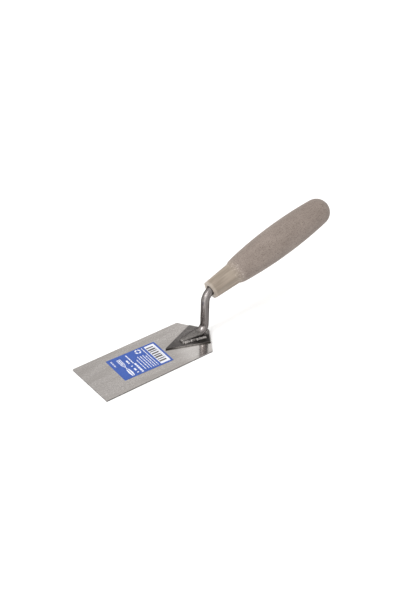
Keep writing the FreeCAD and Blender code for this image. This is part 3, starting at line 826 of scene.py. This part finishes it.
def draw_white(work):
    """White print: a panel, rows of dashes, bold blocks and a ring in four parts."""
    low, high = FILM, FILM + INK
    bar(work, 17.85, 0, 9.7, 26.8, low, high)
    # Rows of dashes: where along the label, from and to across it, how thick, dash lengths.
    for x, start, stop, thick, lengths in (
        (-21.7, 12.4, 3.6, 0.45, [2.4, 1.6, 3.0]),
        (-20.9, 12.4, 4.4, 0.35, [1.9, 2.8]),
        (-1.6, 2.4, -12.5, 0.75, [2.6, 1.5, 3.4, 2.0]),
        (1.2, 5.6, -12.5, 0.75, [1.8, 3.1, 2.2]),
        (3.6, 4.8, -13.0, 0.75, [3.2, 1.2, 2.4, 2.8]),
        (6.0, 4.8, -13.0, 0.75, [2.1, 2.9, 1.4]),
        (8.1, 2.9, -13.0, 0.75, [2.7, 1.7, 3.3]),
        (10.4, 13.5, -13.0, 0.75, [2.2, 3.0, 1.6, 2.5]),
        (-6.2, 12.6, 0.4, 1.1, [2.2, 1.4, 3.0]),
        (-5.4, -0.5, -13.6, 1.8, [2.7, 1.9, 2.3]),
    ):
        dashes(work, x, start, stop, thick, lengths, 0.5, low, high)
    for y, long_y in ((4.9, 3.0), (2.2, 1.2), (-2.4, 1.0), (-7.4, 3.0), (-11.6, 1.2)):
        bar(work, -9.4, y, 1.6, long_y, low, high)
    count = 32
    for i in range(count):
        if i % 8 > 5:
            continue
        a, b = (2 * math.pi * k / count for k in (i, i + 1))
        inner, outer = 1.6, 2.9
        wedge = [(r * math.cos(t), r * math.sin(t)) for r, t in
                 ((inner, a), (outer, a), (outer, b), (inner, b))]
        prism(work, [(5.5 + x, 11.2 + y) for x, y in wedge], low, high)


def draw_sign(work):
    """A plain trowel sign: an outlined blade, a neck and a filled grip."""
    low, high = FILM, FILM + INK
    x, wide = -14.8, 1.8
    for side in (-1, 1):
        bar(work, x + side * (wide - 0.3), 6.9, 0.6, 8.2, low, high)
        tip = [(0, -1.2), (wide, 2.8), (wide - 0.6, 2.8), (0, 0.2)]
        prism(work, [(x + side * a, b) for a, b in tip][:: -side], low, high)
        grip = [(0.35, -3.4), (1.3, -3.9), (1.9, -9.0), (1.2, -13.2), (0.35, -13.6)]
        prism(work, [(x + side * a, b) for a, b in grip][:: side], low, high)
    bar(work, x, 10.7, 2 * wide - 1.2, 0.6, low, high)
    bar(work, x, -2.3, 0.8, 2.0, low, high)
    dashes(work, x, 9.6, 2.6, 1.4, [1.6, 0.9, 2.1], 0.6, low, high)


def draw_dark(work):
    """Dark bars on the white panel, of widths that encode nothing."""
    low, high = FILM + INK, FILM + 2 * INK
    y = 11.0
    for i in range(8):
        wide = (1.5, 2.1, 1.3, 1.8)[i % 4]
        bar(work, 17.0, y - wide / 2, 7.0, wide, low, high)
        y -= wide + (1.3, 0.9, 1.4)[i % 3]
    dashes(work, 21.3, 9.0, -9.4, 0.6, [0.5], 0.9, low, high)


def make_label():
    half_l, half_w = LABEL_LONG / 2, LABEL_WIDE / 2
    signs = ((-1, -1), (1, -1), (1, 1), (-1, 1))
    corners = [(x * half_l, y * half_w, 0.4 * MM) for x, y in signs]
    film = slab("label_film", outline(corners), 0, FILM, 0.02 * MM)
    add_piece("label_film", on_label(film), [LABEL_BLUE], "label", 15)
    ink_piece("label_print_white", INK_WHITE, draw_white)
    ink_piece("label_sign", INK_WHITE, draw_sign)
    ink_piece("label_print_dark", INK_DARK, draw_dark)


make_blade()
make_foot()
make_shank()
make_weld()
make_handle()
make_glue_ring()
make_label()

# These two can't be seen, and keep the CAD's own meshes.
for node, material in (("tang_adhesive", ADHESIVE), ("spot_welds", WELD_STEEL)):
    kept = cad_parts[node]
    kept.data.materials.clear()
    kept.data.materials.append(material)


# ---------------------------------------------------------------- floor, light and camera


def make_floor():
    p = Paint("floor_paper", 0.0, 0.9)
    mottle = p.noise(p.stretched((1, 1, 1)), 6, 3)
    p.set("Base Color", p.mix(p.between(mottle, 0.3, 0.7), (0.9, 0.9, 0.9), (0.93, 0.93, 0.93)))
    size, rise, drop = 6.0, 3.0, 0.02 * MM
    profile = [(-size, 0), (size / 2, 0)]
    profile += [
        (size / 2 + rise * math.sin(a), rise * (1 - math.cos(a)))
        for a in np.linspace(0.1, math.pi / 2, 12)
    ]
    points = [(x, y, z - drop) for y in (-size, size) for x, z in profile]
    n = len(profile)
    faces = [(i, i + 1, n + i + 1, n + i) for i in range(n - 1)]
    mesh = mesh_from("floor", points, faces)
    mesh.materials.append(p.material)
    floor = bpy.data.objects.new("floor", mesh)
    floor.matrix_world = Matrix.Rotation(math.radians(50), 4, "Z")
    bpy.context.scene.collection.objects.link(floor)


def area_light(name, spot, aim, size, power):
    lamp = bpy.data.lights.new(name, "AREA")
    lamp.shape = "RECTANGLE"
    lamp.size, lamp.size_y = size
    lamp.energy = power
    made = bpy.data.objects.new(name, lamp)
    made.matrix_world = (
        Matrix.Translation(spot)
        @ (Vector(aim) - Vector(spot)).to_track_quat("-Z", "Y").to_matrix().to_4x4()
    )
    bpy.context.scene.collection.objects.link(made)


def make_world():
    world = bpy.data.worlds.new("studio")
    world.use_nodes = True
    bpy.context.scene.world = world
    tree = world.node_tree
    background = tree.nodes["Background"]
    background.inputs["Color"].default_value = (1.0, 0.995, 0.985, 1)
    # The tent is brightest ahead of the toe, and has a patch low behind the trowel.
    toward = tree.nodes.new("ShaderNodeTexCoord").outputs["Generated"]

    def glow(direction, start, stop, low, high):
        angle = tree.nodes.new("ShaderNodeVectorMath")
        angle.operation = "DOT_PRODUCT"
        angle.inputs[1].default_value = direction
        tree.links.new(toward, angle.inputs[0])
        level = tree.nodes.new("ShaderNodeMapRange")
        level.interpolation_type = "SMOOTHSTEP"
        for index, value in ((1, start), (2, stop), (3, low), (4, high)):
            level.inputs[index].default_value = value
        tree.links.new(angle.outputs["Value"], level.inputs[0])
        return level.outputs[0]

    total = tree.nodes.new("ShaderNodeMath")
    tree.links.new(glow((-0.74, -0.07, 0.67), -0.1, 1.0, 0.83, 1.65), total.inputs[0])
    tree.links.new(glow((0.603, 0.583, 0.545), 0.962, 0.995, 0.0, 0.25), total.inputs[1])
    tree.links.new(total.outputs[0], background.inputs["Strength"])


def make_camera():
    """Three-quarter view from beyond the toe, on the -Y side, a metre from its aim."""
    azimuth, elevation, roll = (math.radians(a) for a in (-129.26, 35.64, 1.6))
    aim = Vector((0.0422, -0.0126, 0.0491))
    back = Vector(
        (
            math.cos(elevation) * math.cos(azimuth),
            math.cos(elevation) * math.sin(azimuth),
            math.sin(elevation),
        )
    )
    right = Vector((0, 0, 1)).cross(back).normalized()
    up = back.cross(right)
    turned = right * math.cos(roll) + up * math.sin(roll)
    up = up * math.cos(roll) - right * math.sin(roll)
    spot = aim + back
    data = bpy.data.cameras.new("camera")
    data.lens = 71.2
    data.sensor_width = 36.0
    data.clip_start = 0.01
    camera = bpy.data.objects.new("camera", data)
    camera.matrix_world = Matrix(
        (
            (turned.x, up.x, back.x, spot.x),
            (turned.y, up.y, back.y, spot.y),
            (turned.z, up.z, back.z, spot.z),
            (0, 0, 0, 1),
        )
    )
    bpy.context.scene.collection.objects.link(camera)
    bpy.context.scene.camera = camera


make_floor()
make_world()
area_light("key", (-0.93, -0.08, 0.62), (0.05, 0, 0.03), (0.12, 0.8), 5)
make_camera()
bpy.context.scene.view_settings.view_transform = "Standard"
bpy.context.scene.view_settings.look = "None"
